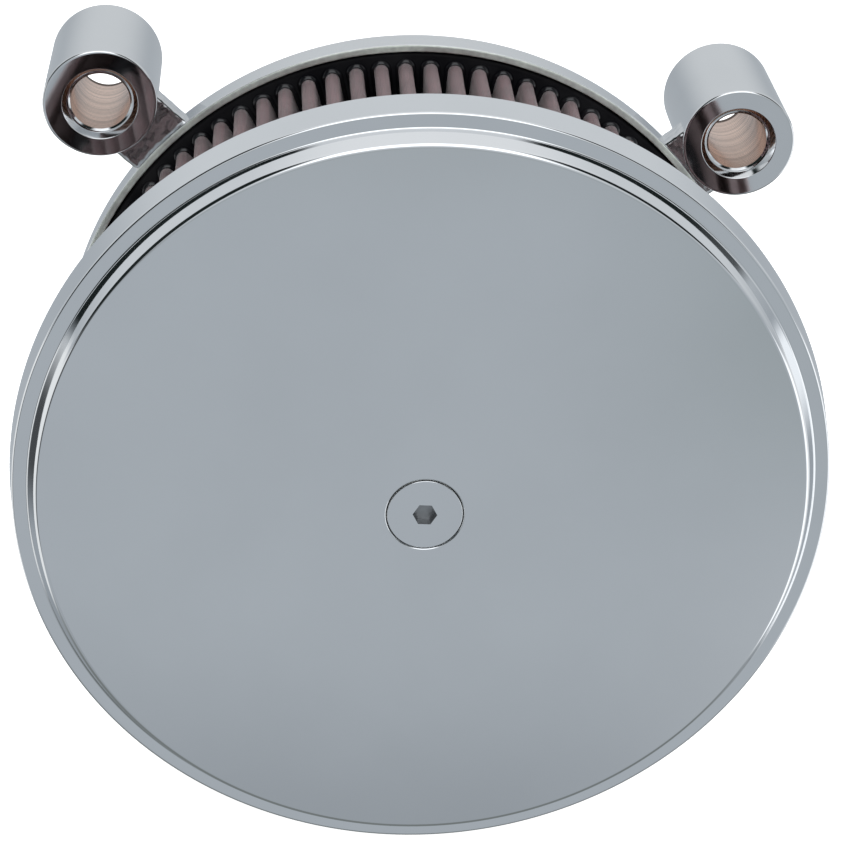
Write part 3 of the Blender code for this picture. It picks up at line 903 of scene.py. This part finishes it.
def make_retaining_screws():
    for i in (1, 2, 3):
        s = Span(f"retaining_screw_{i}")
        w = Span(f"lock_washer_{i}")
        at = (s.x, s.y)
        under = w.front + 0.15 * MM
        head = fillet(
            [
                (0.0, s.front),
                (3.0 * MM, s.front, 0.8 * MM),
                (s.radius - 0.2 * MM, under + 1.0 * MM, 1.2 * MM),
                (s.radius, under, 0.2 * MM),
                (0.0, under),
            ],
            closed=False,
        )
        top = socket_head(head, SMALL_KEY, 2.0 * MM, s.front, HEAD_FACETS)
        rod = thread(SMALL_ROD, s.rear, under + 0.2 * MM, SCREW_PITCH_SMALL, 24)
        mesh = moved(joined([top, rod]), at, i * 0.7)
        stand(f"button_screw_{i}", mesh, ZINC, f"retaining_bolt_{i}", [f"retaining_screw_{i}"])
        washer = moved(split_washer(3.6 * MM, w.radius, w.rear, w.front), at, i * 1.9)
        stand(f"split_washer_{i}", washer, ZINC, f"lock_washer_body_{i}", [f"lock_washer_{i}"])


def make_posts():
    """Tapped posts with a shank through the plate and two flats for a spanner."""
    bore, shank, chamfer = 3.4 * MM, 3.2 * MM, 0.5 * MM
    seat = PLATE_FLOOR + 0.05 * MM
    block, flat = 12 * MM, 4.9 * MM
    for i in (1, 2, 3):
        s = Span(f"standoff_post_{i}")
        tapped = s.front - 16 * MM
        profile = fillet(
            [
                (0.0, tapped),
                (bore, tapped),
                (bore, s.front - chamfer),
                (bore + chamfer, s.front),
                (s.radius, s.front, 0.5 * MM),
                (s.radius, seat, 0.3 * MM),
                (shank, seat),
                (shank, s.rear),
                (0.0, s.rear),
            ],
            closed=False,
        )
        flats = []
        for offset in (-flat - block / 2, flat + block / 2):
            low, high = PLATE_FLOOR + 3 * MM, PLATE_FLOOR + 12 * MM
            flats.append(prism(block, low, high, (offset, 0.0), 4, pi / 4))
        mesh = moved(boolean(lathe(profile, HEAD_FACETS, closed=False), flats), (s.x, s.y), i * 2.1)
        stand(f"post_{i}", mesh, ZINC, "mounting_plate", [f"standoff_post_{i}"])


def make_throttle_side():
    g = Span("throttle_gasket")
    ring = lathe(ring_section(26.4 * MM, g.radius, g.rear, g.front, 0.12 * MM))
    holes = []
    for i in (1, 2, 3):
        s = Span(f"throttle_screw_{i}")
        holes.append(prism(7.0 * MM, g.rear - MM, g.front + MM, (s.x, s.y), SMALL))
        neck = s.front - 3.4 * MM
        head = fillet(
            [
                (0.0, s.front),
                (s.radius, s.front, 0.15 * MM),
                (s.radius, s.front - 0.5 * MM, 0.15 * MM),
                (3.1 * MM, neck),
                (0.0, neck),
            ],
            closed=False,
        )
        top = socket_head(head, SMALL_KEY, 2.2 * MM, s.front, HEAD_FACETS)
        rod = thread(SMALL_ROD, s.rear, neck + 0.2 * MM, SCREW_PITCH_SMALL, 24)
        mesh = moved(joined([top, rod]), (s.x, s.y), i * 1.3)
        stand(f"flat_screw_{i}", mesh, ZINC, "mounting_plate", [f"throttle_screw_{i}"])
    punched = boolean(ring, holes)
    stand("throttle_paper", punched, GASKET, "mounting_plate", ["throttle_gasket"])


def make_o_rings():
    for side in ("left", "right"):
        s = Span(f"boss_o_ring_{side}")
        thick = (s.front - s.rear) / 2
        middle = (s.front + s.rear) / 2
        centre = s.radius - thick
        facets = 20
        angles = [-2 * pi * k / facets for k in range(facets)]
        profile = [(centre + thick * cos(a), middle + thick * sin(a)) for a in angles]
        mesh = lathe(profile, FINE, (s.x, s.y))
        nodes = [f"boss_o_ring_{side}"]
        stand(f"head_o_ring_{side}", mesh, SEAL_RUBBER, "mounting_plate", nodes, sharp=80)


# ---------------------------------------------------------------- studio


# Panels of light and shade on the studio's sky, each laid over the ones before:
# azimuth, elevation, width and height in degrees, colour, and the width of the soft edge in degrees.
PANELS = [
    (180, -45, 60, 20, (0.20, 0.22, 0.22), 8),
    (-100, -24, 80, 44, (0.92, 0.94, 0.95), 6),
    (104, -20, 40, 40, (0.80, 0.82, 0.84), 8),
    (72, -22, 38, 44, (1.30, 1.33, 1.36), 6),
    (-42, -18, 40, 40, (0.09, 0.095, 0.10), 8),
    (0, -28, 80, 50, (0.450, 0.487, 0.523), 14),
    (2, -46, 50, 12, (0.34, 0.37, 0.40), 14),
    (23, -14, 14, 22, (0.38, 0.42, 0.44), 14),
    (0, -6, 40, 10, (0.39, 0.425, 0.44), 12),
    (30, -36, 14, 16, (0.50, 0.53, 0.56), 14),
    (-55, 30, 46, 60, (0.015, 0.02, 0.02), 6),
    (50, 38, 30, 50, (0.015, 0.02, 0.02), 6),
    (0, 45, 44, 40, (1.7, 1.75, 1.8), 12),
]


def make_world():
    """A soft studio seen only by light and reflections: pale walls with dark gaps between bright panels."""
    world = bpy.data.worlds.new("studio")
    bpy.context.scene.world = world
    world.use_nodes = True
    nodes, links = world.node_tree.nodes, world.node_tree.links
    direction = nodes.new("ShaderNodeTexCoord").outputs["Generated"]

    def put(socket, value):
        if isinstance(value, bpy.types.NodeSocket):
            links.new(value, socket)
        else:
            socket.default_value = value

    def calc(operation, *values):
        made = nodes.new("ShaderNodeMath")
        made.operation = operation
        for socket, value in zip(made.inputs, values):
            put(socket, value)
        return made.outputs[0]

    def facing(vector):
        made = nodes.new("ShaderNodeVectorMath")
        made.operation = "DOT_PRODUCT"
        put(made.inputs[0], direction)
        put(made.inputs[1], tuple(vector))
        return made.outputs["Value"]

    def smooth(value, low, high):
        made = nodes.new("ShaderNodeMapRange")
        made.interpolation_type = "SMOOTHSTEP"
        for key, number in (("Value", value), ("From Min", low), ("From Max", high)):
            put(made.inputs[key], number)
        return made.outputs["Result"]

    def mix(base, colour, mask):
        made = nodes.new("ShaderNodeMix")
        made.data_type = "RGBA"
        put(made.inputs["Factor"], mask)
        put(made.inputs["A"], base)
        put(made.inputs["B"], (*colour, 1.0))
        return made.outputs["Result"]

    def panel(base, azimuth, elevation, width, height, colour, soft):
        """Lays a soft-edged rectangle of light or shade on the sky. Azimuth 0 is ahead of the cover."""
        a, e = radians(azimuth), radians(elevation)
        ahead = Vector((sin(a) * cos(e), -cos(a) * cos(e), sin(e)))
        aside = Vector((cos(a), sin(a), 0.0))
        up = aside.cross(ahead) * -1
        depth = calc("MAXIMUM", facing(ahead), 1e-4)
        u = calc("ARCTANGENT", calc("DIVIDE", calc("ABSOLUTE", facing(aside)), depth))
        v = calc("ARCTANGENT", calc("DIVIDE", calc("ABSOLUTE", facing(up)), depth))
        edge = radians(soft)
        in_u = smooth(u, radians(width / 2) + edge / 2, radians(width / 2) - edge / 2)
        in_v = smooth(v, radians(height / 2) + edge / 2, radians(height / 2) - edge / 2)
        in_front = smooth(facing(ahead), 0.0, 0.05)
        return mix(base, colour, calc("MULTIPLY", calc("MULTIPLY", in_u, in_v), in_front))

    split = nodes.new("ShaderNodeSeparateXYZ")
    put(split.inputs[0], direction)
    rise = split.outputs["Z"]
    base = mix((0.44, 0.475, 0.51, 1.0), (0.67, 0.70, 0.725), smooth(rise, -0.1, 0.35))
    base = mix(base, (0.86, 0.88, 0.90), smooth(rise, 0.72, 0.95))
    base = mix(base, (0.20, 0.22, 0.22), smooth(rise, -0.62, -0.85))
    for settings in PANELS:
        base = panel(base, *settings)
    put(nodes["Background"].inputs["Color"], base)
    nodes["Background"].inputs["Strength"].default_value = 1.0


def light(name, place, target, size, power):
    """A square lamp that lights the scene but isn't seen itself or in the chrome."""
    lamp = bpy.data.lights.new(name, "AREA")
    lamp.size = size
    lamp.energy = power
    obj = bpy.data.objects.new(name, lamp)
    obj.location = place
    obj.rotation_euler = (Vector(target) - Vector(place)).to_track_quat("-Z", "Y").to_euler()
    obj.visible_camera = False
    obj.visible_glossy = False
    bpy.context.scene.collection.objects.link(obj)


def make_stage():
    """A white floor and a white dome round it, both left out of reflections, which see the studio instead."""
    clearance = 0.4 * MM
    floor_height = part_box("cover")[0].z - clearance
    s = Shader("white_paper")
    s.set(Base_Color=s.ramp(s.noise(3.0, 2.0), [(0.3, (0.38, 0.38, 0.38)), (0.7, (0.40, 0.40, 0.40))]))
    s.set(Roughness=0.9, Emission_Color=(1.0, 1.0, 1.0, 1.0), Emission_Strength=0.97)
    floor = bpy.data.objects.new("floor", prism(8.0, -0.02, 0.0, sides=64))
    floor.location.z = floor_height
    floor.data.materials.append(s.material)
    backdrop_material = bpy.data.materials.new("white_backdrop")
    backdrop_material.use_nodes = True
    nodes = backdrop_material.node_tree.nodes
    glow = nodes.new("ShaderNodeEmission")
    glow.inputs["Color"].default_value = (1.0, 1.0, 1.0, 1.0)
    backdrop_material.node_tree.links.new(glow.outputs[0], nodes["Material Output"].inputs["Surface"])
    work = bmesh.new()
    bmesh.ops.create_uvsphere(work, u_segments=48, v_segments=24, radius=4.5)
    bmesh.ops.reverse_faces(work, faces=work.faces)
    mesh = finished(work, "backdrop")
    backdrop = bpy.data.objects.new("backdrop", mesh)
    mesh.materials.append(backdrop_material)
    for obj in (floor, backdrop):
        bpy.context.scene.collection.objects.link(obj)
        obj.visible_glossy = False
    backdrop.visible_diffuse = False
    backdrop.visible_shadow = False
    light("key", (-0.5, -0.9, 1.3), (0, 0, 0), 0.8, 14)
    light("fill", (0.9, -0.5, 0.9), (0, 0, 0), 0.8, 7)
    light("back", (0.0, 1.2, 1.2), (0, 0.1, -0.1), 1.0, 16)


def make_camera():
    data = bpy.data.cameras.new("camera")
    data.lens = CAMERA_LENS
    data.sensor_width = 36
    data.clip_start, data.clip_end = 0.01, 20
    camera = bpy.data.objects.new("camera", data)
    camera.location = CAMERA_PLACE
    camera.rotation_euler = [radians(a) for a in CAMERA_TURN]
    bpy.context.scene.collection.objects.link(camera)
    bpy.context.scene.camera = camera


make_camera()
make_world()
make_stage()
make_backing_plate()
make_throttle_side()
make_o_rings()
make_posts()
make_media()
make_seals()
make_retainer()
make_retaining_screws()
make_cover()
make_cover_screw()

bpy.context.scene.view_settings.view_transform = "Standard"
